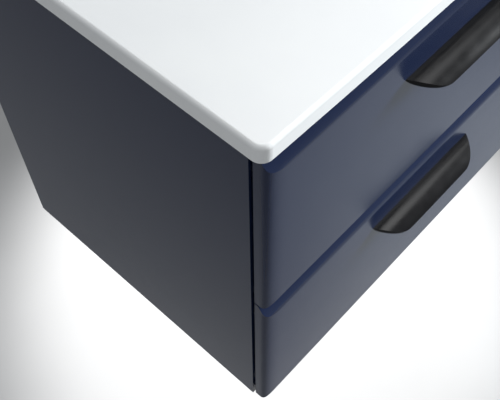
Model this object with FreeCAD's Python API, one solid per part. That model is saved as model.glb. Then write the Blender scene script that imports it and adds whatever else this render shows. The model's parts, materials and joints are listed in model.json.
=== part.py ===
"""Wall-hung bathroom vanity cabinet with two soft-edged drawers and a cast basin top.

Millimetres. The origin is the centre of the four wall fixing holes, on the wall's surface.
+X runs to the right as the user stands in front, -Y comes out of the wall towards the user,
and +Z is up. Each separate piece is written to parts/NAME.step.
"""
import FreeCAD, Part
import os
from FreeCAD import Vector

os.makedirs("parts", exist_ok=True)

# ---------------------------------------------------------------- driving dimensions
# Carcass
cabinet_width = 600.0        # over the outer faces of the two side panels
cabinet_height = 550.0       # of the side panels
cabinet_depth = 440.0        # wall to the front edge of the side panels
board = 16.0                 # thickness of the carcass boards
rail_reach = 36.0            # wall to the front face of the rear rails, brackets behind them
top_rail_height = 116.0      # rear rail under the basin
low_rail_height = 100.0      # rear rail above the bottom panel
rail_bowl_gap = 7.5          # flat front stretcher to the outside of the bowl
fixing_drop = 50.0           # wall fixing centre under the top of the carcass

# Drawer fronts
front_thickness = 16.0
front_gap = 3.0              # carcass edge to the back of a front, filled by the bumpers
side_reveal = 2.0            # front stops this far inside the cabinet's outer face
bottom_reveal = 2.0          # lower front stops this far above the carcass's lower edge
split_gap = 3.0              # between the two fronts
top_reveal = 3.0             # upper front to the underside of the basin top
edge_run = 26.0              # soft vertical edge, measured across the front
edge_depth = 9.5             # the same edge, measured through the thickness
roll_run = 30.0              # rolled top edge, measured down the front
roll_depth = 12.0            # the same edge, measured through the thickness
low_edge_radius = 1.0        # eased lower edge of a front

# Cup handles, half-moons in plan with pointed tips
handle_width = 200.0
handle_projection = 31.0
handle_height = 14.0
handle_shell = 2.5           # wall of the cup
handle_end_run = 42.0        # tip to the straight middle of the lip
handle_tip_run = 22.0        # tip to where the tip's side would reach the line of the lip
handle_rise_run = 50.0       # tip to where the lower edge has come down to its full depth
handle_lip_run = 10.0        # lip to where its slope would reach the level of the roof
handle_drop = 68.0           # top of the front to the top of its handle
handle_pitch = 128.0         # between the two screw posts
post_width = 10.0
post_height = 9.0
post_depth = 16.0

# Drawer boxes
drawer_board = 12.0          # sides, inner front and back
base_thickness = 8.0
base_rise = 10.0             # underside of the box to the underside of its base
groove_depth = 5.0           # base into the sides
groove_play = 0.1
box_rise = 26.0              # lower edge of a front to the underside of its box
upper_headroom = 115.0       # top of the upper front to the top of its box, under the bowl
lower_headroom = 95.0        # top of the lower front to the top of its box
box_length = 400.0           # front face of the inner front to the back of the box
trap_width = 200.0           # clear width of the cut-out round the waste trap
trap_reach = 258.0           # depth of that cut-out from the back of the box
trap_board = 10.0

# Telescopic slides, measured from the side panel towards the drawer
slide_length = 400.0
slide_space = 13.0           # between side panel and drawer side
slide_height = 45.0
slide_steel = 1.2
slide_play = 0.3             # between one member's flange and the next
slide_inset = 2.0            # carcass edge to the front end of the slide
slide_rise = 40.0            # underside of the box to the middle of the slide
middle_web = 3.4             # side panel to the middle member's web
middle_reach = 10.6          # side panel to the edge of its flanges
outer_reach = 9.5            # side panel to the edge of the cabinet member's flanges
inner_start = 5.4            # side panel to the edge of the drawer member's flanges

# Basin top
top_thickness = 20.0
top_side_overhang = 6.5
top_front_overhang = 2.5     # at the front corners, past the drawer fronts
top_bow = 3.0                # the front edge swells this much more at its middle
top_corner_radius = 12.0
top_edge_radius = 4.0
bowl_length = 400.0
bowl_front_deck = 75.0       # front corner line of the top to the bowl
bowl_rear_deck = 106.5       # wall to the bowl, room for the tap
bowl_depth = 112.0
bowl_wall = 12.0
bowl_rim_radius = 8.0
waste_radius = 23.0
waste_boss_radius = 40.0
waste_boss_depth = 130.0     # top surface to the underside of the waste boss
tap_radius = 17.5
tap_setback = 64.0           # wall to the middle of the tap hole

# Wall brackets
bracket_pitch = 516.0        # between the left and right pairs of wall fixing holes
hole_pitch = 40.0            # between the upper and lower hole of a pair
hole_radius = 3.25
wall_plate_steel = 2.5
wall_plate_width = 44.0
wall_plate_height = 52.0
lip_standoff = 5.5           # space behind the wall plate's lip
lip_low = -6.0               # underside of the shelf that carries the lip
lip_high = 8.0               # top of the lip
hook_steel = 3.0
hook_length = 100.0          # wall to the front end of the hook plate
hook_high = 24.0
hook_play = 0.3              # hook to lip, and hook tip to the metal round it
notch_width = 12.0
notch_low = -30.0

# Fasteners
dowel_radius = 4.0
dowel_length = 30.0
dowel_in_side = 12.0         # depth of a carcass dowel in the side panel
small_dowel_radius = 3.0
small_dowel_length = 24.0
small_dowel_in_side = 8.0
screw_radius = 1.75
screw_head_radius = 3.5
screw_head = 1.9
machine_radius = 2.0
machine_head_radius = 4.0
machine_head = 2.5
machine_grip = 9.0           # of the handle screw in its post
fit_play = 0.05              # radial play of a dowel or screw in its hole
side_screw_depth = 12.0      # of a chipboard screw in a side panel
drawer_screw_depth = 10.0    # of a chipboard screw in a drawer side
slide_screw_shares = (0.05, 0.47, 0.89)   # along the slide
front_screw_length = 25.0    # through the inner front and into the front
front_screw_inset = 60.0     # from the inner end of the inner front
front_screw_low = 22.0       # above the base
front_screw_high = 20.0      # below the top of the box
small_dowel_low = 14.0       # above the base
small_dowel_high = 24.0      # below the top of the box
rail_dowel_edge = 8.0        # lower edge of the notched rail to its first dowel
rail_dowel_pitch = 18.0
hook_screw_edge = 12.0       # edges of the hook plate to its screws
bumper_radius = 4.0
bumper_play = 0.2            # bumper to the back of a closed front
bumper_edge = 20.0           # lower edge of a front to the bumper behind it

# How far each end of a soft corner is drawn towards the corner
tight_pull = 0.79            # a quick turn off the side face
long_pull = 0.92             # then a long easing into the flat front
round_pull = 0.5523          # both ends of a quarter of an ellipse
roll_pull = 0.3              # both ends of a front's rolled top edge, flatter in between
tip_pull = 0.4               # out of the pointed tip of a handle
dish_floor_pull = 0.72       # from the bowl's floor
dish_rim_pull = 0.62         # up to its rim
dish_floor_share = 0.3       # flat middle of the bowl, as a share of its half length

# ---------------------------------------------------------------- levels worked out from them
carcass_top = fixing_drop
carcass_bottom = carcass_top - cabinet_height
inner_half = cabinet_width / 2 - board
carcass_front = -cabinet_depth
front_back = carcass_front - front_gap
front_face = front_back - front_thickness
front_half = cabinet_width / 2 - side_reveal
front_height = (cabinet_height - bottom_reveal - split_gap - top_reveal) / 2
lower_front_bottom = carcass_bottom + bottom_reveal
upper_front_bottom = lower_front_bottom + front_height + split_gap
upper_box_height = front_height - box_rise - upper_headroom
lower_box_height = front_height - box_rise - lower_headroom
box_half = inner_half - slide_space
box_inner_half = box_half - drawer_board
box_back = front_back + box_length
rail_front = -rail_reach
slide_front = carcass_front + slide_inset
top_surface = carcass_top + top_thickness
top_half = cabinet_width / 2 + top_side_overhang
top_front = front_face - top_front_overhang
bowl_width = -top_front - bowl_front_deck - bowl_rear_deck
bowl_middle = top_front + bowl_front_deck + bowl_width / 2
front_rail_depth = top_front + bowl_front_deck - bowl_wall - rail_bowl_gap - carcass_front
trap_half = trap_width / 2
trap_front = box_back - trap_reach


# ---------------------------------------------------------------- helpers
def block(x0, x1, y0, y1, z0, z1):
    """Box between two corners, given in any order."""
    low = Vector(min(x0, x1), min(y0, y1), min(z0, z1))
    return Part.makeBox(abs(x1 - x0), abs(y1 - y0), abs(z1 - z0), low)


def rod_x(x0, x1, y, z, radius):
    """Round bar along X."""
    return Part.makeCylinder(radius, abs(x1 - x0), Vector(min(x0, x1), y, z), Vector(1, 0, 0))


def rod_y(x, y0, y1, z, radius):
    """Round bar along Y."""
    return Part.makeCylinder(radius, abs(y1 - y0), Vector(x, min(y0, y1), z), Vector(0, 1, 0))


def rod_z(x, y, z0, z1, radius):
    """Round bar along Z."""
    return Part.makeCylinder(radius, abs(z1 - z0), Vector(x, y, min(z0, z1)), Vector(0, 0, 1))


def mirrored(shape):
    """The same piece on the other side of the cabinet."""
    return shape.mirror(Vector(0, 0, 0), Vector(1, 0, 0))


def cut_all(shape, tools):
    """Shape less every tool."""
    return shape.cut(Part.makeCompound(tools)) if tools else shape


def save(name, shape):
    """Write one piece as single solids, checked."""
    solids = shape.Solids
    result = solids[0] if len(solids) == 1 else Part.makeCompound(solids)
    if not result.isValid():
        raise ValueError(name + " isn't a valid solid")
    result.exportStep("parts/" + name + ".step")


def soft_corner(start, corner, end, start_pull, end_pull):
    """Smooth edge from start to end, drawn towards the corner where the two sides would meet."""
    curve = Part.BezierCurve()
    first = start + (corner - start) * start_pull
    second = end + (corner - end) * end_pull
    curve.setPoles([start, first, second, end])
    return curve.toShape()


def line(start, end):
    return Part.makeLine(start, end)


# ---------------------------------------------------------------- drawer fronts


def front_blank(bottom):
    """Board with soft vertical edges and a rolled top edge, mitred where they meet."""
    top = bottom + front_height
    right_back = Vector(front_half, front_back, bottom)
    right_start = Vector(front_half, front_face + edge_depth, bottom)
    right_corner = Vector(front_half, front_face, bottom)
    right_end = Vector(front_half - edge_run, front_face, bottom)
    left_back = Vector(-front_half, front_back, bottom)
    left_start = Vector(-front_half, front_face + edge_depth, bottom)
    left_corner = Vector(-front_half, front_face, bottom)
    left_end = Vector(-front_half + edge_run, front_face, bottom)
    plan = Part.Wire([
        line(left_back, right_back),
        line(right_back, right_start),
        soft_corner(right_start, right_corner, right_end, tight_pull, long_pull),
        line(right_end, left_end),
        soft_corner(left_start, left_corner, left_end, tight_pull, long_pull),
        line(left_start, left_back),
    ])
    across = Part.Face(plan).extrude(Vector(0, 0, front_height))
    x = -front_half - 1.0
    roll_start = Vector(x, front_face, top - roll_run)
    roll_end = Vector(x, front_face + roll_depth, top)
    low_front = Vector(x, front_face, bottom + low_edge_radius)
    low_back = Vector(x, front_face + low_edge_radius, bottom)
    side = Part.Wire([
        line(low_front, roll_start),
        soft_corner(roll_start, Vector(x, front_face, top), roll_end, roll_pull, roll_pull),
        line(roll_end, Vector(x, front_back, top)),
        line(Vector(x, front_back, top), Vector(x, front_back, bottom)),
        line(Vector(x, front_back, bottom), low_back),
        soft_corner(low_back, Vector(x, front_face, bottom), low_front, round_pull, round_pull),
    ])
    down = Part.Face(side).extrude(Vector(2 * front_half + 2.0, 0, 0))
    return across.common(down)


def front_screw_places(bottom, box_height):
    """Four places (x, z) where the inner front is screwed to the front."""
    low = bottom + box_rise + base_rise + base_thickness + front_screw_low
    high = bottom + box_rise + box_height - front_screw_high
    reach = box_inner_half - front_screw_inset
    return [(x, z) for x in (-reach, reach) for z in (low, high)]


def post_level(bottom):
    """Height of a handle's screw posts."""
    return bottom + front_height - handle_drop - handle_shell - post_height / 2


def make_front(name, bottom, box_height):
    shape = front_blank(bottom)
    screw_end = front_back + drawer_board - front_screw_length
    holes = [rod_y(x, screw_end, front_back, z, machine_radius + fit_play)
             for x, z in front_screw_places(bottom, box_height)]
    holes += [rod_y(x, front_face, front_back, post_level(bottom), machine_radius + fit_play)
              for x in (-handle_pitch / 2, handle_pitch / 2)]
    save(name, cut_all(shape, holes))


# ---------------------------------------------------------------- handles
def hood(share, high, lip, low):
    """Solid half-moon with a rolled-over roof, its plan drawn in to the share from the lip."""
    reach = handle_projection * share
    end_run = handle_end_run * share
    half = handle_width / 2 - handle_end_run + end_run
    front = front_face - reach
    tip_right = Vector(half, front_face, low)
    tip_left = Vector(-half, front_face, low)
    lip_right = Vector(half - end_run, front, low)
    lip_left = Vector(-half + end_run, front, low)
    corner_right = Vector(half - handle_tip_run * share, front, low)
    corner_left = Vector(-half + handle_tip_run * share, front, low)
    plan = Part.Wire([
        line(tip_left, tip_right),
        soft_corner(tip_right, corner_right, lip_right, tip_pull, 1.0),
        line(lip_right, lip_left),
        soft_corner(tip_left, corner_left, lip_left, tip_pull, 1.0),
    ])
    upright = Part.Face(plan).extrude(Vector(0, 0, high - low + 1.0))
    x = -half - 1.0
    bend = Vector(x, front + handle_lip_run * share, high)
    side = Part.Wire([
        soft_corner(Vector(x, front_face, high), bend, Vector(x, front, lip),
                    round_pull, round_pull),
        line(Vector(x, front, lip), Vector(x, front, low - 1.0)),
        line(Vector(x, front, low - 1.0), Vector(x, front_face, low - 1.0)),
        line(Vector(x, front_face, low - 1.0), Vector(x, front_face, high)),
    ])
    return upright.common(Part.Face(side).extrude(Vector(2 * half + 2.0, 0, 0)))


def make_handle(name, bottom):
    """Cup pull, open below and behind, with two threaded posts under its roof."""
    high = bottom + front_height - handle_drop
    low = high - handle_height
    half = handle_width / 2
    y = front_face + 1.0
    rise = Part.Wire([
        line(Vector(-half, y, high + 1.0), Vector(half, y, high + 1.0)),
        line(Vector(half, y, high + 1.0), Vector(half, y, high)),
        soft_corner(Vector(half, y, high), Vector(half, y, low),
                    Vector(half - handle_rise_run, y, low), round_pull, round_pull),
        line(Vector(half - handle_rise_run, y, low), Vector(-half + handle_rise_run, y, low)),
        soft_corner(Vector(-half, y, high), Vector(-half, y, low),
                    Vector(-half + handle_rise_run, y, low), round_pull, round_pull),
        line(Vector(-half, y, high), Vector(-half, y, high + 1.0)),
    ])
    across = Part.Face(rise).extrude(Vector(0, -handle_projection - 2.0, 0))
    outer = hood(1.0, high, low, low).common(across)
    inner_share = 1.0 - handle_shell / handle_projection
    shell = outer.cut(hood(inner_share, high - handle_shell, low, low - 1.0))
    level = post_level(bottom)
    for x in (-handle_pitch / 2, handle_pitch / 2):
        post = block(x - post_width / 2, x + post_width / 2, front_face, front_face - post_depth,
                     level - post_height / 2, high - handle_shell / 2)
        hole = rod_y(x, front_face - machine_grip - 1.0, front_face, level, machine_radius + fit_play)
        shell = shell.fuse(post.common(outer)).cut(hole)
    save(name, shell.removeSplitter())


def make_handle_screws(name, bottom):
    screws = []
    for x in (-handle_pitch / 2, handle_pitch / 2):
        shank = rod_y(x, front_face - machine_grip, front_back, post_level(bottom), machine_radius)
        head = rod_y(x, front_back, front_back + machine_head, post_level(bottom), machine_head_radius)
        screws.append(shank.fuse(head))
    save(name, Part.makeCompound(screws))


def make_front_screws(name, bottom, box_height):
    """Screws from inside the box through the inner front into the front."""
    inside = front_back + drawer_board
    screws = []
    for x, z in front_screw_places(bottom, box_height):
        shank = rod_y(x, inside - front_screw_length, inside, z, machine_radius)
        head = rod_y(x, inside, inside + machine_head, z, machine_head_radius)
        screws.append(shank.fuse(head))
    save(name, Part.makeCompound(screws))


# ---------------------------------------------------------------- drawer boxes
def dowel_levels(bottom, box_height):
    """Heights of the two dowels in each corner of a drawer box."""
    low = bottom + box_rise
    return [low + base_rise + base_thickness + small_dowel_low, low + box_height - small_dowel_high]


def corner_dowels(bottom, box_height):
    """Small dowels of the left corners, as (y, z)."""
    front_y = front_back + drawer_board / 2
    back_y = box_back - drawer_board / 2
    return [(y, z) for y in (front_y, back_y) for z in dowel_levels(bottom, box_height)]


def small_dowel(y, z, play):
    start = -box_inner_half - small_dowel_in_side - play
    end = -box_inner_half - small_dowel_in_side + small_dowel_length + play
    return rod_x(start, end, y, z, small_dowel_radius + play)


def slide_screw_ys():
    """Places of the slide screws along the slide."""
    return [slide_front + slide_length * share for share in slide_screw_shares]


def drawer_screw_hole(y, z, play):
    """Shank of a screw through the drawer member into the left drawer side."""
    return rod_x(-box_half - slide_steel, -box_half + drawer_screw_depth, y, z, screw_radius + play)


def make_drawer_sides(prefix, bottom, box_height):
    low = bottom + box_rise
    side = block(-box_half, -box_inner_half, front_back, box_back, low, low + box_height)
    groove = block(-box_inner_half - groove_depth, -box_inner_half, front_back + drawer_board,
                   box_back, low + base_rise - groove_play,
                   low + base_rise + base_thickness + groove_play)
    holes = [small_dowel(y, z, fit_play) for y, z in corner_dowels(bottom, box_height)]
    holes += [drawer_screw_hole(y, low + slide_rise, fit_play) for y in slide_screw_ys()]
    side = cut_all(side, [groove] + holes)
    save(prefix + "_drawer_side_left", side)
    save(prefix + "_drawer_side_right", mirrored(side))


def make_inner_front(prefix, bottom, box_height):
    low = bottom + box_rise
    shape = block(-box_inner_half, box_inner_half, front_back, front_back + drawer_board,
                  low, low + box_height)
    dowels = [small_dowel(front_back + drawer_board / 2, z, fit_play)
              for z in dowel_levels(bottom, box_height)]
    holes = dowels + [mirrored(dowel) for dowel in dowels]
    holes += [rod_y(x, front_back, front_back + drawer_board, z, machine_radius + fit_play)
              for x, z in front_screw_places(bottom, box_height)]
    save(prefix + "_drawer_inner_front", cut_all(shape, holes))


def make_box_dowels(prefix, bottom, box_height):
    dowels = [small_dowel(y, z, 0.0) for y, z in corner_dowels(bottom, box_height)]
    dowels += [mirrored(dowel) for dowel in dowels]
    save(prefix + "_drawer_dowels", Part.makeCompound(dowels))


def base_blank(bottom):
    low = bottom + box_rise + base_rise
    reach = box_inner_half + groove_depth - groove_play
    return block(-reach, reach, front_back + drawer_board, box_back - drawer_board,
                 low, low + base_thickness)


def back_board(x0, x1, bottom, box_height):
    low = bottom + box_rise
    shape = block(x0, x1, box_back - drawer_board, box_back, low, low + box_height)
    dowels = [small_dowel(box_back - drawer_board / 2, z, fit_play)
              for z in dowel_levels(bottom, box_height)]
    return cut_all(shape, dowels + [mirrored(dowel) for dowel in dowels])


def make_upper_box():
    """Box with a cut-out from the back that passes round the basin's waste trap."""
    bottom = upper_front_bottom
    low = bottom + box_rise
    make_drawer_sides("upper", bottom, upper_box_height)
    make_inner_front("upper", bottom, upper_box_height)
    make_box_dowels("upper", bottom, upper_box_height)
    cutout = block(-trap_half, trap_half, trap_front, box_back, low, low + upper_box_height)
    save("upper_drawer_base", base_blank(bottom).cut(cutout))
    left_back = back_board(-box_inner_half, -trap_half - trap_board, bottom, upper_box_height)
    save("upper_drawer_back_left", left_back)
    save("upper_drawer_back_right", mirrored(left_back))
    floor = low + base_rise + base_thickness
    wall = block(-trap_half - trap_board, -trap_half, trap_front, box_back,
                 floor, low + upper_box_height)
    save("trap_wall_left", wall)
    save("trap_wall_right", mirrored(wall))
    reach = trap_half + trap_board
    save("trap_wall_front", block(-reach, reach, trap_front - trap_board, trap_front,
                                  floor, low + upper_box_height))


def make_lower_box():
    """Plain full-width box."""
    bottom = lower_front_bottom
    make_drawer_sides("lower", bottom, lower_box_height)
    make_inner_front("lower", bottom, lower_box_height)
    make_box_dowels("lower", bottom, lower_box_height)
    save("lower_drawer_base", base_blank(bottom))
    save("lower_drawer_back", back_board(-box_inner_half, box_inner_half, bottom, lower_box_height))


# ---------------------------------------------------------------- telescopic slides
def channel(web_start, web_end, flange_start, flange_end, half_height, level):
    """Rolled channel on the left side, measured from the left side panel's inner face."""
    y0 = slide_front
    y1 = slide_front + slide_length
    wall = -inner_half
    web = block(wall + web_start, wall + web_end, y0, y1, level - half_height, level + half_height)
    upper = block(wall + flange_start, wall + flange_end, y0, y1,
                  level + half_height - slide_steel, level + half_height)
    lower = block(wall + flange_start, wall + flange_end, y0, y1,
                  level - half_height, level - half_height + slide_steel)
    return web.fuse(upper).fuse(lower).removeSplitter()


def cabinet_screw(y, level, play):
    """Shank of a screw through the cabinet member into the left side panel."""
    return rod_x(-inner_half - side_screw_depth, -inner_half + slide_steel, y, level, screw_radius + play)


def make_slides(prefix, bottom):
    level = bottom + box_rise + slide_rise
    outer_half = slide_height / 2
    middle_half = outer_half - slide_steel - slide_play
    inner_half_height = middle_half - slide_steel - slide_play
    outer = channel(0.0, slide_steel, 0.0, outer_reach, outer_half, level)
    outer = cut_all(outer, [cabinet_screw(y, level, fit_play) for y in slide_screw_ys()])
    middle = channel(middle_web, middle_web + slide_steel, middle_web, middle_reach,
                     middle_half, level)
    inner = channel(slide_space - slide_steel, slide_space, inner_start, slide_space,
                    inner_half_height, level)
    inner = cut_all(inner, [drawer_screw_hole(y, level, fit_play) for y in slide_screw_ys()])
    for role, shape in (("cabinet", outer), ("middle", middle), ("drawer", inner)):
        save(prefix + "_slide_" + role + "_member_left", shape)
        save(prefix + "_slide_" + role + "_member_right", mirrored(shape))
    screws = []
    for y in slide_screw_ys():
        seat = -box_half - slide_steel
        head = rod_x(seat - screw_head, seat, y, level, screw_head_radius)
        screws.append(drawer_screw_hole(y, level, 0.0).fuse(head))
    screws += [mirrored(screw) for screw in screws]
    save(prefix + "_drawer_slide_screws", Part.makeCompound(screws))


def make_cabinet_slide_screws():
    screws = []
    for bottom in (upper_front_bottom, lower_front_bottom):
        level = bottom + box_rise + slide_rise
        for y in slide_screw_ys():
            seat = -inner_half + slide_steel
            head = rod_x(seat, seat + screw_head, y, level, screw_head_radius)
            screws.append(cabinet_screw(y, level, 0.0).fuse(head))
    screws += [mirrored(screw) for screw in screws]
    save("cabinet_slide_screws", Part.makeCompound(screws))


# ---------------------------------------------------------------- carcass
def carcass_dowel_places():
    """Left-hand dowels of the carcass, as (y, z)."""
    bottom_middle = carcass_bottom + board / 2
    rail_middle = rail_front + board / 2
    low_rail_bottom = carcass_bottom + board
    top_rail_bottom = carcass_top - top_rail_height
    stretcher_middle = carcass_top - board / 2
    places = [(carcass_front * share, bottom_middle) for share in (0.15, 0.5, 0.85)]
    first = top_rail_bottom + rail_dowel_edge
    places += [(rail_middle, z) for z in (first, first + rail_dowel_pitch)]
    places += [(rail_middle, low_rail_bottom + low_rail_height * share) for share in (0.2, 0.8)]
    places += [(carcass_front + front_rail_depth * share, stretcher_middle) for share in (0.25, 0.75)]
    return places


def carcass_dowel(y, z, play):
    start = -inner_half - dowel_in_side - play
    end = -inner_half - dowel_in_side + dowel_length + play
    return rod_x(start, end, y, z, dowel_radius + play)


def carcass_dowel_holes():
    left = [carcass_dowel(y, z, fit_play) for y, z in carcass_dowel_places()]
    return left + [mirrored(hole) for hole in left]


def hook_screw_places():
    """Screws of the left hook plate, as (y, z)."""
    low = hook_screw_edge - wall_plate_height / 2
    front = hook_screw_edge - hook_length
    return [(front, hook_high - hook_screw_edge), (front, low), (rail_front - hook_screw_edge, low)]


def hook_screw(y, z, play):
    return rod_x(-inner_half - side_screw_depth, -inner_half + hook_steel, y, z, screw_radius + play)


def make_carcass():
    side = block(-cabinet_width / 2, -inner_half, carcass_front, 0.0, carcass_bottom, carcass_top)
    levels = [bottom + box_rise + slide_rise for bottom in (upper_front_bottom, lower_front_bottom)]
    holes = [carcass_dowel(y, z, fit_play) for y, z in carcass_dowel_places()]
    holes += [cabinet_screw(y, level, fit_play) for level in levels for y in slide_screw_ys()]
    holes += [hook_screw(y, z, fit_play) for y, z in hook_screw_places()]
    side = cut_all(side, holes)
    save("side_panel_left", side)
    save("side_panel_right", mirrored(side))

    dowel_holes = carcass_dowel_holes()
    bottom_panel = block(-inner_half, inner_half, carcass_front, 0.0,
                         carcass_bottom, carcass_bottom + board)
    save("bottom_panel", cut_all(bottom_panel, dowel_holes))
    top_rail = block(-inner_half, inner_half, rail_front, rail_front + board,
                     carcass_top - top_rail_height, carcass_top)
    notch = block(-inner_half, -inner_half + notch_width, rail_front, rail_front + board,
                  notch_low, carcass_top)
    save("rear_top_rail", cut_all(top_rail, dowel_holes + [notch, mirrored(notch)]))
    low_rail = block(-inner_half, inner_half, rail_front, rail_front + board,
                     carcass_bottom + board, carcass_bottom + board + low_rail_height)
    save("rear_bottom_rail", cut_all(low_rail, dowel_holes))
    stretcher = block(-inner_half, inner_half, carcass_front, carcass_front + front_rail_depth,
                      carcass_top - board, carcass_top)
    save("front_stretcher", cut_all(stretcher, dowel_holes))
    dowels = [carcass_dowel(y, z, 0.0) for y, z in carcass_dowel_places()]
    dowels += [mirrored(dowel) for dowel in dowels]
    save("carcass_dowels", Part.makeCompound(dowels))


def make_bumpers():
    """Soft discs on the side panels' front edges, one behind each corner of each front."""
    x = -cabinet_width / 2 + board / 2
    discs = []
    for bottom in (lower_front_bottom, upper_front_bottom):
        for z in (bottom + bumper_edge, bottom + front_height - roll_run):
            discs.append(rod_y(x, front_back + bumper_play, carcass_front, z, bumper_radius))
    discs += [mirrored(disc) for disc in discs]
    save("drawer_bumpers", Part.makeCompound(discs))


# ---------------------------------------------------------------- wall brackets
def make_brackets():
    """Hook plates on the side panels, hung over the lips of two plates on the wall."""
    lip_back = -wall_plate_steel - lip_standoff
    lip_front = lip_back - wall_plate_steel
    outer_x = -inner_half
    plate = block(outer_x, outer_x + wall_plate_width, -wall_plate_steel, 0.0,
                  -wall_plate_height / 2, wall_plate_height / 2)
    shelf = block(outer_x, outer_x + wall_plate_width, lip_front, -wall_plate_steel,
                  lip_low, lip_low + wall_plate_steel)
    lip = block(outer_x, outer_x + wall_plate_width, lip_front, lip_back, lip_low, lip_high)
    plate = plate.fuse(shelf).fuse(lip).removeSplitter()
    holes = [rod_y(-bracket_pitch / 2, -wall_plate_steel, 0.0, z, hole_radius)
             for z in (-hole_pitch / 2, hole_pitch / 2)]
    plate = cut_all(plate, holes)
    save("wall_plate_left", plate)
    save("wall_plate_right", mirrored(plate))

    tip_back = -wall_plate_steel - hook_play
    tip_front = lip_back + hook_play
    x0 = -inner_half
    x1 = -inner_half + hook_steel
    body = block(x0, x1, -hook_length, rail_front + board, -wall_plate_height / 2, hook_high)
    arm = block(x0, x1, rail_front, tip_back, lip_high + hook_play, hook_high)
    tip = block(x0, x1, tip_front, tip_back, lip_low + wall_plate_steel + hook_play, hook_high)
    hook = body.fuse(arm).fuse(tip).removeSplitter()
    hook = cut_all(hook, [hook_screw(y, z, fit_play) for y, z in hook_screw_places()])
    save("hook_plate_left", hook)
    save("hook_plate_right", mirrored(hook))
    screws = []
    for y, z in hook_screw_places():
        head = rod_x(x1, x1 + screw_head, y, z, screw_head_radius)
        screws.append(hook_screw(y, z, 0.0).fuse(head))
    screws += [mirrored(screw) for screw in screws]
    save("hook_plate_screws", Part.makeCompound(screws))


# ---------------------------------------------------------------- basin top
def bowl_form(half_length, half_width, depth, level):
    """Oval dish: a turned profile with a flat middle, narrowed across its width."""
    centre = Vector(0, 0, level - depth)
    floor_edge = Vector(half_length * dish_floor_share, 0, level - depth)
    rim = Vector(half_length, 0, level)
    profile = Part.Wire([
        line(Vector(0, 0, level), centre),
        line(centre, floor_edge),
        soft_corner(floor_edge, Vector(half_length, 0, level - depth), rim,
                    dish_floor_pull, dish_rim_pull),
        line(rim, Vector(0, 0, level)),
    ])
    turned = Part.Face(profile).revolve(Vector(0, 0, 0), Vector(0, 0, 1), 360)
    narrow = FreeCAD.Matrix()
    narrow.scale(Vector(1.0, half_width / half_length, 1.0))
    narrow.move(Vector(0, bowl_middle, 0))
    return turned.transformGeometry(narrow)


def top_slab():
    """Slab with round front corners, a slightly bowed front edge and a soft upper edge."""
    z = carcass_top
    r = top_corner_radius
    left_back = Vector(-top_half, 0, z)
    right_back = Vector(top_half, 0, z)
    right_side = Vector(top_half, top_front + r, z)
    right_front = Vector(top_half - r, top_front, z)
    left_front = Vector(-top_half + r, top_front, z)
    left_side = Vector(-top_half, top_front + r, z)
    middle = Vector(0, top_front - top_bow, z)
    bow = Part.Arc(left_front, middle, right_front).toShape()
    outline = Part.Wire([
        line(left_back, right_back),
        line(right_back, right_side),
        soft_corner(right_side, Vector(top_half, top_front, z), right_front,
                    round_pull, round_pull),
        bow,
        soft_corner(left_front, Vector(-top_half, top_front, z), left_side,
                    round_pull, round_pull),
        line(left_side, left_back),
    ])
    slab = Part.Face(outline).extrude(Vector(0, 0, top_thickness))
    upper = [edge for edge in slab.Edges
             if edge.BoundBox.ZMin > top_surface - 0.01 and edge.BoundBox.YMin < -1.0]
    return slab.makeFillet(top_edge_radius, upper)


def make_basin_top():
    slab = top_slab()
    outer = bowl_form(bowl_length / 2 + bowl_wall, bowl_width / 2 + bowl_wall,
                      bowl_depth + bowl_wall, top_surface)
    hollow = bowl_form(bowl_length / 2, bowl_width / 2, bowl_depth, top_surface)
    boss = rod_z(0, bowl_middle, top_surface - waste_boss_depth, top_surface - bowl_depth,
                 waste_boss_radius)
    outer = outer.cut(block(-top_half, top_half, -cabinet_depth, 0.0,
                            top_surface - top_edge_radius, top_surface + 1.0))
    basin = slab.fuse(outer).fuse(boss).cut(hollow)
    rim = [edge for edge in basin.Edges
           if edge.Vertexes[0].Z > top_surface - 0.01 and edge.Vertexes[-1].Z > top_surface - 0.01
           and abs(edge.Vertexes[0].X) < bowl_length / 2 + 1.0
           and abs(edge.Vertexes[0].Y - bowl_middle) < bowl_width / 2 + 1.0]
    basin = basin.makeFillet(bowl_rim_radius, rim)
    waste = rod_z(0, bowl_middle, top_surface - waste_boss_depth, top_surface - bowl_depth + 1.0,
                  waste_radius)
    tap = rod_z(0, -tap_setback, carcass_top, top_surface, tap_radius)
    save("basin_top", basin.cut(waste).cut(tap))


# ---------------------------------------------------------------- the whole cabinet
make_carcass()
make_brackets()
make_basin_top()
make_bumpers()
make_cabinet_slide_screws()
for prefix, level, height in (("upper", upper_front_bottom, upper_box_height),
                              ("lower", lower_front_bottom, lower_box_height)):
    make_front(prefix + "_drawer_front", level, height)
    make_handle(prefix + "_handle", level)
    make_handle_screws(prefix + "_handle_screws", level)
    make_front_screws(prefix + "_front_screws", level, height)
    make_slides(prefix, level)
make_upper_box()
make_lower_box()
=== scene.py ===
"""Looks of the wall-hung bathroom vanity cabinet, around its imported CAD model. Metres."""
import json
import math

import bpy
from mathutils import Matrix, Vector


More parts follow.
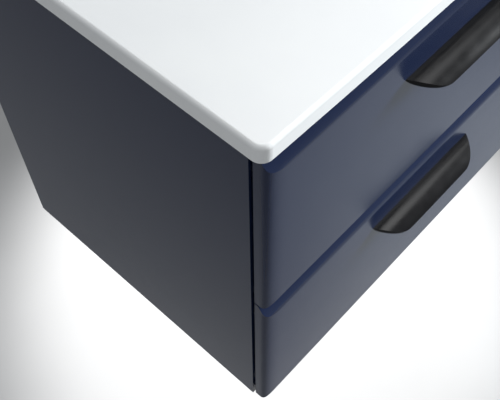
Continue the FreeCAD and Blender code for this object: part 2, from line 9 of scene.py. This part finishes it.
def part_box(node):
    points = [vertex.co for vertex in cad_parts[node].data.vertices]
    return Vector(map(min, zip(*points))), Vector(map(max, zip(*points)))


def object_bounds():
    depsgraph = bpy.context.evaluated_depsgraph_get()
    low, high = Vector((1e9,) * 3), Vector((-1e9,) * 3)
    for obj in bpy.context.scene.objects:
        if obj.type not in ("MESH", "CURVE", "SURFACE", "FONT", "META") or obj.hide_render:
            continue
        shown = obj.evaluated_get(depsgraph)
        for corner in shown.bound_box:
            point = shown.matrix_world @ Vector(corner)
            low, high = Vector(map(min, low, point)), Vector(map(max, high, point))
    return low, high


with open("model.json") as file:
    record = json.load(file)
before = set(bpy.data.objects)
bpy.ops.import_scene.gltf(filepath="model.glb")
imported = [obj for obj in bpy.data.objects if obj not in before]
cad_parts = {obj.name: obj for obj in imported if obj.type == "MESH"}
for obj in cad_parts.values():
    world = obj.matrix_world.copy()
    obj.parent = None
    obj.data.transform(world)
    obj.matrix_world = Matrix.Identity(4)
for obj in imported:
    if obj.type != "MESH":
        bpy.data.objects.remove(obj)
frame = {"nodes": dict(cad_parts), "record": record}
cad_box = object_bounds()
nodes = frame["nodes"]

MM = 0.001


# ---------------------------------------------------------------- small helpers
def linear(hex_colour):
    """sRGB hex such as "1d2433" to a linear RGBA colour."""
    channels = [int(hex_colour[i:i + 2], 16) / 255.0 for i in (0, 2, 4)]
    values = [c / 12.92 if c <= 0.04045 else ((c + 0.055) / 1.055) ** 2.4 for c in channels]
    return (*values, 1.0)


def add(tree, kind, inputs=None, **settings):
    """Add a node: its settings by name, then each input as a value or another node's output."""
    node = tree.nodes.new(kind)
    for name, value in settings.items():
        setattr(node, name, value)
    for name, value in (inputs or {}).items():
        if isinstance(value, bpy.types.NodeSocket):
            tree.links.new(value, node.inputs[name])
        else:
            node.inputs[name].default_value = value
    return node


def blank_finish(name):
    """A finish with nothing on it yet: the material and its node tree."""
    material = bpy.data.materials.new(name)
    material.use_nodes = True
    material.node_tree.nodes.clear()
    return material, material.node_tree


# ---------------------------------------------------------------- materials
# A mix of two colours takes them at these inputs, and gives the result at this output.
FIRST, SECOND, MIXED = 6, 7, 2

# Noise keeps near the middle of its range; taking this part of it gives an even spread.
NOISE_LOW, NOISE_HIGH = 0.3, 0.7

# The linen's threads are two noises multiplied, which lie lower.
THREAD_LOW, THREAD_HIGH = 0.12, 0.42


def satin_navy_lacquer():
    """Navy polyurethane lacquer, sprayed on the moulded fronts and side panels and left satin.

    The spray dries with a faint orange peel, cells 1.6 mm across, that softens what it mirrors.
    The matting agent weakens the mirror too, so the IOR is under the usual 1.5 of a lacquer.
    """
    material, tree = blank_finish("satin_navy_lacquer")
    place = add(tree, "ShaderNodeTexCoord").outputs["Object"]
    drift = add(tree, "ShaderNodeTexNoise",
                {"Vector": place, "Scale": 1 / (90 * MM), "Detail": 3.0})
    share = add(tree, "ShaderNodeMapRange",
                {"Value": drift.outputs["Fac"], "From Min": NOISE_LOW, "From Max": NOISE_HIGH})
    colour = add(tree, "ShaderNodeMix",
                 {"Factor": share.outputs["Result"],
                  FIRST: linear("18233f"), SECOND: linear("192440")}, data_type="RGBA")
    film = add(tree, "ShaderNodeTexNoise", {"Vector": place, "Scale": 1 / (30 * MM)})
    satin = add(tree, "ShaderNodeMapRange",
                {"Value": film.outputs["Fac"], "From Min": NOISE_LOW, "From Max": NOISE_HIGH,
                 "To Min": 0.2, "To Max": 0.22})
    cells = add(tree, "ShaderNodeTexNoise",
                {"Vector": place, "Scale": 1 / (1.6 * MM), "Detail": 1.0})
    peel = add(tree, "ShaderNodeBump",
               {"Height": cells.outputs["Fac"], "Distance": 0.006 * MM, "Strength": 0.5})
    shader = add(tree, "ShaderNodeBsdfPrincipled",
                 {"Base Color": colour.outputs[MIXED], "Roughness": satin.outputs["Result"],
                  "IOR": 1.34, "Normal": peel.outputs["Normal"]})
    add(tree, "ShaderNodeOutputMaterial", {"Surface": shader.outputs["BSDF"]})
    return material


def navy_board():
    """Particle board faced with navy melamine paper, pressed against a finely grained plate.

    It is duller than the lacquer, and its grain, 0.6 mm wide, runs along the cabinet's depth.
    """
    material, tree = blank_finish("navy_melamine_board")
    place = add(tree, "ShaderNodeTexCoord").outputs["Object"]
    drift = add(tree, "ShaderNodeTexNoise",
                {"Vector": place, "Scale": 1 / (50 * MM), "Detail": 4.0})
    share = add(tree, "ShaderNodeMapRange",
                {"Value": drift.outputs["Fac"], "From Min": NOISE_LOW, "From Max": NOISE_HIGH})
    colour = add(tree, "ShaderNodeMix",
                 {"Factor": share.outputs["Result"],
                  FIRST: linear("232b3a"), SECOND: linear("293140")}, data_type="RGBA")
    dull = add(tree, "ShaderNodeMapRange",
               {"Value": drift.outputs["Fac"], "From Min": NOISE_LOW, "From Max": NOISE_HIGH,
                "To Min": 0.5, "To Max": 0.58})
    lengthwise = add(tree, "ShaderNodeMapping", {"Vector": place, "Scale": (1.0, 0.25, 1.0)})
    grain = add(tree, "ShaderNodeTexNoise",
                {"Vector": lengthwise.outputs["Vector"], "Scale": 1 / (0.6 * MM), "Detail": 3.0})
    pressed = add(tree, "ShaderNodeBump",
                  {"Height": grain.outputs["Fac"], "Distance": 0.03 * MM, "Strength": 0.5})
    shader = add(tree, "ShaderNodeBsdfPrincipled",
                 {"Base Color": colour.outputs[MIXED], "Roughness": dull.outputs["Result"],
                  "IOR": 1.5, "Normal": pressed.outputs["Normal"]})
    add(tree, "ShaderNodeOutputMaterial", {"Surface": shader.outputs["BSDF"]})
    return material


def linen_board():
    """Light grey melamine board for the drawer boxes, printed and pressed as linen.

    Crossing threads 0.9 mm thick give it a fine cloth look, a little shinier on the threads.
    """
    material, tree = blank_finish("grey_linen_melamine")
    place = add(tree, "ShaderNodeTexCoord").outputs["Object"]
    weft_way = add(tree, "ShaderNodeMapping", {"Vector": place, "Scale": (1.0, 0.06, 1.0)})
    weft = add(tree, "ShaderNodeTexNoise",
               {"Vector": weft_way.outputs["Vector"], "Scale": 1 / (0.9 * MM)})
    warp_way = add(tree, "ShaderNodeMapping", {"Vector": place, "Scale": (0.06, 1.0, 0.06)})
    warp = add(tree, "ShaderNodeTexNoise",
               {"Vector": warp_way.outputs["Vector"], "Scale": 1 / (0.9 * MM)})
    weave = add(tree, "ShaderNodeMath",
                {0: weft.outputs["Fac"], 1: warp.outputs["Fac"]}, operation="MULTIPLY")
    share = add(tree, "ShaderNodeMapRange",
                {"Value": weave.outputs["Value"], "From Min": THREAD_LOW, "From Max": THREAD_HIGH})
    colour = add(tree, "ShaderNodeMix",
                 {"Factor": share.outputs["Result"],
                  FIRST: linear("8e8e8b"), SECOND: linear("9a9a97")}, data_type="RGBA")
    dull = add(tree, "ShaderNodeMapRange",
               {"Value": weave.outputs["Value"], "From Min": THREAD_LOW, "From Max": THREAD_HIGH,
                "To Min": 0.48, "To Max": 0.6})
    pressed = add(tree, "ShaderNodeBump",
                  {"Height": weave.outputs["Value"], "Distance": 0.06 * MM, "Strength": 0.5})
    shader = add(tree, "ShaderNodeBsdfPrincipled",
                 {"Base Color": colour.outputs[MIXED], "Roughness": dull.outputs["Result"],
                  "IOR": 1.5, "Normal": pressed.outputs["Normal"]})
    add(tree, "ShaderNodeOutputMaterial", {"Surface": shader.outputs["BSDF"]})
    return material


def white_gel_coat():
    """White gel coat over the basin top's cast mineral, moulded and polished.

    Nearly even white with a soft gloss; the mould leaves a very slight waviness, 20 mm long.
    """
    material, tree = blank_finish("white_gel_coat")
    place = add(tree, "ShaderNodeTexCoord").outputs["Object"]
    drift = add(tree, "ShaderNodeTexNoise",
                {"Vector": place, "Scale": 1 / (120 * MM), "Detail": 3.0})
    share = add(tree, "ShaderNodeMapRange",
                {"Value": drift.outputs["Fac"], "From Min": NOISE_LOW, "From Max": NOISE_HIGH})
    colour = add(tree, "ShaderNodeMix",
                 {"Factor": share.outputs["Result"],
                  FIRST: linear("f1f3f4"), SECOND: linear("f6f8f8")}, data_type="RGBA")
    wear = add(tree, "ShaderNodeTexNoise", {"Vector": place, "Scale": 1 / (50 * MM)})
    polish = add(tree, "ShaderNodeMapRange",
                 {"Value": wear.outputs["Fac"], "From Min": NOISE_LOW, "From Max": NOISE_HIGH,
                  "To Min": 0.2, "To Max": 0.26})
    swell = add(tree, "ShaderNodeTexNoise",
                {"Vector": place, "Scale": 1 / (20 * MM), "Detail": 1.0})
    wave = add(tree, "ShaderNodeBump",
               {"Height": swell.outputs["Fac"], "Distance": 0.03 * MM, "Strength": 0.3})
    shader = add(tree, "ShaderNodeBsdfPrincipled",
                 {"Base Color": colour.outputs[MIXED], "Roughness": polish.outputs["Result"],
                  "IOR": 1.52, "Coat Weight": 0.2, "Coat Roughness": 0.1,
                  "Normal": wave.outputs["Normal"]})
    add(tree, "ShaderNodeOutputMaterial", {"Surface": shader.outputs["BSDF"]})
    return material


def black_powder_coat():
    """Fine satin powder coat baked on the die-cast zinc handles.

    The powder's grains are under 0.1 mm; they are drawn 0.5 mm wide so that they show at all.
    Its rough skin mirrors weakly, so the IOR is under the usual 1.5 of a powder coat: the black
    stays deep, with a soft streak along the curve.
    """
    material, tree = blank_finish("black_powder_coat")
    place = add(tree, "ShaderNodeTexCoord").outputs["Object"]
    drift = add(tree, "ShaderNodeTexNoise",
                {"Vector": place, "Scale": 1 / (20 * MM), "Detail": 3.0})
    share = add(tree, "ShaderNodeMapRange",
                {"Value": drift.outputs["Fac"], "From Min": NOISE_LOW, "From Max": NOISE_HIGH})
    colour = add(tree, "ShaderNodeMix",
                 {"Factor": share.outputs["Result"],
                  FIRST: linear("0c0c0e"), SECOND: linear("111113")}, data_type="RGBA")
    satin = add(tree, "ShaderNodeMapRange",
                {"Value": drift.outputs["Fac"], "From Min": NOISE_LOW, "From Max": NOISE_HIGH,
                 "To Min": 0.2, "To Max": 0.24})
    powder = add(tree, "ShaderNodeTexNoise", {"Vector": place, "Scale": 1 / (0.5 * MM)})
    grain = add(tree, "ShaderNodeBump",
                {"Height": powder.outputs["Fac"], "Distance": 0.01 * MM, "Strength": 0.5})
    shader = add(tree, "ShaderNodeBsdfPrincipled",
                 {"Base Color": colour.outputs[MIXED], "Roughness": satin.outputs["Result"],
                  "IOR": 1.3, "Normal": grain.outputs["Normal"]})
    add(tree, "ShaderNodeOutputMaterial", {"Surface": shader.outputs["BSDF"]})
    return material


def beech_wood():
    """Turned beech dowel, left bare.

    Pale pinkish brown, with darker flecks 1.2 mm wide and twenty times as long down its length.
    """
    material, tree = blank_finish("beech_wood")
    place = add(tree, "ShaderNodeTexCoord").outputs["Object"]
    down_length = add(tree, "ShaderNodeMapping", {"Vector": place, "Scale": (0.05, 1.0, 1.0)})
    flecks = add(tree, "ShaderNodeTexNoise",
                 {"Vector": down_length.outputs["Vector"], "Scale": 1 / (1.2 * MM), "Detail": 4.0})
    share = add(tree, "ShaderNodeMapRange",
                {"Value": flecks.outputs["Fac"], "From Min": NOISE_LOW, "From Max": NOISE_HIGH})
    colour = add(tree, "ShaderNodeMix",
                 {"Factor": share.outputs["Result"],
                  FIRST: linear("b88a5e"), SECOND: linear("d9b48a")}, data_type="RGBA")
    dull = add(tree, "ShaderNodeMapRange",
               {"Value": flecks.outputs["Fac"], "From Min": NOISE_LOW, "From Max": NOISE_HIGH,
                "To Min": 0.55, "To Max": 0.7})
    pores = add(tree, "ShaderNodeBump",
                {"Height": flecks.outputs["Fac"], "Distance": 0.08 * MM, "Strength": 0.5})
    shader = add(tree, "ShaderNodeBsdfPrincipled",
                 {"Base Color": colour.outputs[MIXED], "Roughness": dull.outputs["Result"],
                  "IOR": 1.5, "Normal": pores.outputs["Normal"]})
    add(tree, "ShaderNodeOutputMaterial", {"Surface": shader.outputs["BSDF"]})
    return material


def zinc_plate(name, brightest, dullest, mark_stretch):
    """Bright zinc electroplated on steel, for the screws, the drawer slides and the brackets.

    The zinc gives a cloudy silver, over the marks 0.7 mm wide that rolling left along the steel.
    """
    material, tree = blank_finish(name)
    place = add(tree, "ShaderNodeTexCoord").outputs["Object"]
    drift = add(tree, "ShaderNodeTexNoise",
                {"Vector": place, "Scale": 1 / (40 * MM), "Detail": 3.0})
    share = add(tree, "ShaderNodeMapRange",
                {"Value": drift.outputs["Fac"], "From Min": NOISE_LOW, "From Max": NOISE_HIGH})
    colour = add(tree, "ShaderNodeMix",
                 {"Factor": share.outputs["Result"],
                  FIRST: linear("b9bec4"), SECOND: linear("cdd0d2")}, data_type="RGBA")
    rolled = add(tree, "ShaderNodeMapping", {"Vector": place, "Scale": mark_stretch})
    marks = add(tree, "ShaderNodeTexNoise",
                {"Vector": rolled.outputs["Vector"], "Scale": 1 / (0.7 * MM), "Detail": 3.0})
    shine = add(tree, "ShaderNodeMapRange",
                {"Value": marks.outputs["Fac"], "From Min": NOISE_LOW, "From Max": NOISE_HIGH,
                 "To Min": brightest, "To Max": dullest})
    ridges = add(tree, "ShaderNodeBump",
                 {"Height": marks.outputs["Fac"], "Distance": 0.01 * MM, "Strength": 0.4})
    shader = add(tree, "ShaderNodeBsdfPrincipled",
                 {"Base Color": colour.outputs[MIXED], "Metallic": 1.0,
                  "Roughness": shine.outputs["Result"], "Normal": ridges.outputs["Normal"]})
    add(tree, "ShaderNodeOutputMaterial", {"Surface": shader.outputs["BSDF"]})
    return material


def bumper_rubber():
    """Soft black rubber, moulded in a spark-eroded tool: matt, with a pitted skin 0.8 mm coarse."""
    material, tree = blank_finish("black_bumper_rubber")
    place = add(tree, "ShaderNodeTexCoord").outputs["Object"]
    pits = add(tree, "ShaderNodeTexNoise", {"Vector": place, "Scale": 1 / (0.8 * MM)})
    share = add(tree, "ShaderNodeMapRange",
                {"Value": pits.outputs["Fac"], "From Min": NOISE_LOW, "From Max": NOISE_HIGH})
    colour = add(tree, "ShaderNodeMix",
                 {"Factor": share.outputs["Result"],
                  FIRST: linear("161617"), SECOND: linear("1d1d1e")}, data_type="RGBA")
    matt = add(tree, "ShaderNodeMapRange",
               {"Value": pits.outputs["Fac"], "From Min": NOISE_LOW, "From Max": NOISE_HIGH,
                "To Min": 0.6, "To Max": 0.7})
    skin = add(tree, "ShaderNodeBump",
               {"Height": pits.outputs["Fac"], "Distance": 0.03 * MM, "Strength": 0.5})
    shader = add(tree, "ShaderNodeBsdfPrincipled",
                 {"Base Color": colour.outputs[MIXED], "Roughness": matt.outputs["Result"],
                  "IOR": 1.5, "Normal": skin.outputs["Normal"]})
    add(tree, "ShaderNodeOutputMaterial", {"Surface": shader.outputs["BSDF"]})
    return material


def pale_matt_paint():
    """Matt light grey floor paint with a hardly seen cloudiness, 300 mm across."""
    material, tree = blank_finish("pale_floor")
    place = add(tree, "ShaderNodeTexCoord").outputs["Object"]
    drift = add(tree, "ShaderNodeTexNoise",
                {"Vector": place, "Scale": 1 / (300 * MM), "Detail": 3.0})
    share = add(tree, "ShaderNodeMapRange",
                {"Value": drift.outputs["Fac"], "From Min": NOISE_LOW, "From Max": NOISE_HIGH})
    colour = add(tree, "ShaderNodeMix",
                 {"Factor": share.outputs["Result"],
                  FIRST: linear("bcbcbc"), SECOND: linear("bfbfbf")}, data_type="RGBA")
    shader = add(tree, "ShaderNodeBsdfPrincipled",
                 {"Base Color": colour.outputs[MIXED], "Roughness": 0.7, "IOR": 1.45})
    add(tree, "ShaderNodeOutputMaterial", {"Surface": shader.outputs["BSDF"]})
    return material


FINISHES = {
    "navy_satin_lacquer": satin_navy_lacquer(),
    "navy_faced_board": navy_board(),
    "grey_faced_board": linen_board(),
    "white_cast_mineral": white_gel_coat(),
    "black_satin_metal": black_powder_coat(),
    "beech": beech_wood(),
    "black_bumper": bumper_rubber(),
    "zinc_screws": zinc_plate("zinc_screw_steel", brightest=0.22, dullest=0.32,
                              mark_stretch=(1.0, 1.0, 1.0)),
    "zinc_slide_steel": zinc_plate("zinc_slide_steel", brightest=0.24, dullest=0.36,
                                   mark_stretch=(1.0, 0.03, 1.0)),
    "zinc_bracket_steel": zinc_plate("zinc_bracket_steel", brightest=0.3, dullest=0.42,
                                     mark_stretch=(1.0, 1.0, 0.05)),
}
BOARD_SLOTS = ("navy_satin_lacquer", "navy_faced_board", "grey_faced_board")
SLOT_OF = {part["node"]: part["material_slot"] for part in frame["record"]["subparts"]}

# Faces that meet more sharply than this keep an edge between them.
SHARP_ANGLE = math.radians(30.0)

# Rounding left by sanding, or by the edging tape, on a board's edges.
EASED_WIDTH = 0.6 * MM


def ease_edges(node):
    """Round the sharp edges of a board, which keeps its own mesh."""
    bevel = node.modifiers.new("eased edges", "BEVEL")
    bevel.width = EASED_WIDTH
    bevel.segments = 2
    bevel.limit_method = "ANGLE"
    bevel.angle_limit = SHARP_ANGLE
    bevel.use_clamp_overlap = True


for name, node in nodes.items():
    node.data.materials.clear()
    node.data.materials.append(FINISHES[SLOT_OF[name]])
    node.data.shade_smooth()
    node.data.set_sharp_from_angle(angle=SHARP_ANGLE)
    if SLOT_OF[name] in BOARD_SLOTS:
        ease_edges(node)


# ---------------------------------------------------------------- camera
# Turned right of straight in, tipped down and leaned over, in degrees.
YAW, PITCH, ROLL = 48.077, 57.355, 0.309

# From the lower front corner of the left side panel to the lens.
CORNER_TO_LENS = Vector((-0.2839, -0.2717, 1.0775))

# Sensor and lens in mm. The shift is the little that the framing is off the lens's axis.
SENSOR_WIDTH, FOCAL_LENGTH = 36.0, 59.5584
SHIFT_X, SHIFT_Y = -0.0266, 0.0148


def place_camera():
    """Close view of the left front corner from above."""
    yaw, pitch, roll = (math.radians(angle) for angle in (YAW, PITCH, ROLL))
    ahead = Vector((math.sin(yaw) * math.cos(pitch), math.cos(yaw) * math.cos(pitch),
                    -math.sin(pitch)))
    level = Vector((math.cos(yaw), -math.sin(yaw), 0.0))
    above = level.cross(ahead)
    right = math.cos(roll) * level + math.sin(roll) * above
    up = math.cos(roll) * above - math.sin(roll) * level
    turn = Matrix((right, up, -ahead)).transposed().to_4x4()
    corner = Vector(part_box("side_panel_left")[0])
    camera = bpy.data.objects.new("camera", bpy.data.cameras.new("camera"))
    camera.matrix_world = Matrix.Translation(corner + CORNER_TO_LENS) @ turn
    camera.data.sensor_width = SENSOR_WIDTH
    camera.data.lens = FOCAL_LENGTH
    camera.data.shift_x = SHIFT_X
    camera.data.shift_y = SHIFT_Y
    bpy.context.scene.collection.objects.link(camera)
    bpy.context.scene.camera = camera


place_camera()


# ---------------------------------------------------------------- floor and lights
# The cabinet hangs this far above the floor, and the floor reaches this far each way.
HANGING_HEIGHT, FLOOR_REACH = 1.6, 25.0

# Tints of the lamps, from a slightly warm white to a cool one.
WARM, WHITE = (1.0, 0.985, 0.97), (1.0, 1.0, 1.0)
COOL, COOLER = (0.95, 0.98, 1.0), (0.86, 0.94, 1.0)

# What the plain room around gives by itself.
ROOM_TINT, ROOM_STRENGTH = (0.95, 0.975, 1.0, 1.0), 0.43


def pale_floor(level):
    """Plain floor under the hung cabinet."""
    x, y = FLOOR_REACH, FLOOR_REACH
    corners = [(-x, -y, level), (x, -y, level), (x, y, level), (-x, y, level)]
    mesh = bpy.data.meshes.new("floor")
    mesh.from_pydata(corners, [], [(0, 1, 2, 3)])
    mesh.materials.append(pale_matt_paint())
    floor = bpy.data.objects.new("floor", mesh)
    bpy.context.scene.collection.objects.link(floor)


def hang_lamp(name, kind, position, target, power, tint):
    """Hang a lamp at a position, turned to face a target."""
    lamp = bpy.data.lights.new(name, kind)
    lamp.energy = power
    lamp.color = tint
    holder = bpy.data.objects.new(name, lamp)
    holder.location = position
    facing = Vector(target) - Vector(position)
    holder.rotation_euler = facing.to_track_quat("-Z", "Y").to_euler()
    bpy.context.scene.collection.objects.link(holder)
    return lamp


def soft_spot(name, position, target, radius, power, cone, blend, tint):
    """Spot with a cone in degrees and a soft rim, for a lit pool on the floor."""
    lamp = hang_lamp(name, "SPOT", position, target, power, tint)
    lamp.shadow_soft_size = radius
    lamp.spot_size = math.radians(cone)
    lamp.spot_blend = blend


def soft_panel(name, position, target, size, power, spread, tint):
    """Square soft light, its beam narrowed to a spread in degrees."""
    lamp = hang_lamp(name, "AREA", position, target, power, tint)
    lamp.size = size
    lamp.spread = math.radians(spread)


pale_floor(cad_box[0][2] - HANGING_HEIGHT)

# The satin fronts and side take most of their tone from the floor that they mirror.
# Two spots light it behind the cabinet and out to its right.
soft_spot("floor_pool", position=(1.3, 1.0, 0.3), target=(0.62, 0.3, -2.1),
          radius=0.2, power=550.0, cone=46.5, blend=0.5, tint=WHITE)
soft_spot("floor_right", position=(1.8, -1.0, 0.4), target=(1.46, -1.4, -2.1),
          radius=0.3, power=240.0, cone=55.0, blend=1.0, tint=COOLER)

# Three soft panels: on the fronts from the right, on the top, and along the handles' curve.
soft_panel("key", position=(2.3, -1.5, 0.5), target=(0.0, -0.46, -0.2),
           size=0.9, power=18.0, spread=60.0, tint=COOL)
soft_panel("above", position=(1.2, 0.1, 1.95), target=(0.0, -0.35, 0.0),
           size=1.6, power=1.45, spread=42.0, tint=WARM)
soft_panel("front_above", position=(0.95, -1.05, 1.6), target=(0.1, -0.46, -0.25),
           size=0.8, power=0.9, spread=50.0, tint=WHITE)

world = bpy.data.worlds.new("studio")
world.use_nodes = True
background = world.node_tree.nodes["Background"]
background.inputs["Color"].default_value = ROOM_TINT
background.inputs["Strength"].default_value = ROOM_STRENGTH
bpy.context.scene.world = world

# Plain whites stay white: the default transform would turn them grey.
bpy.context.scene.view_settings.view_transform = "Standard"
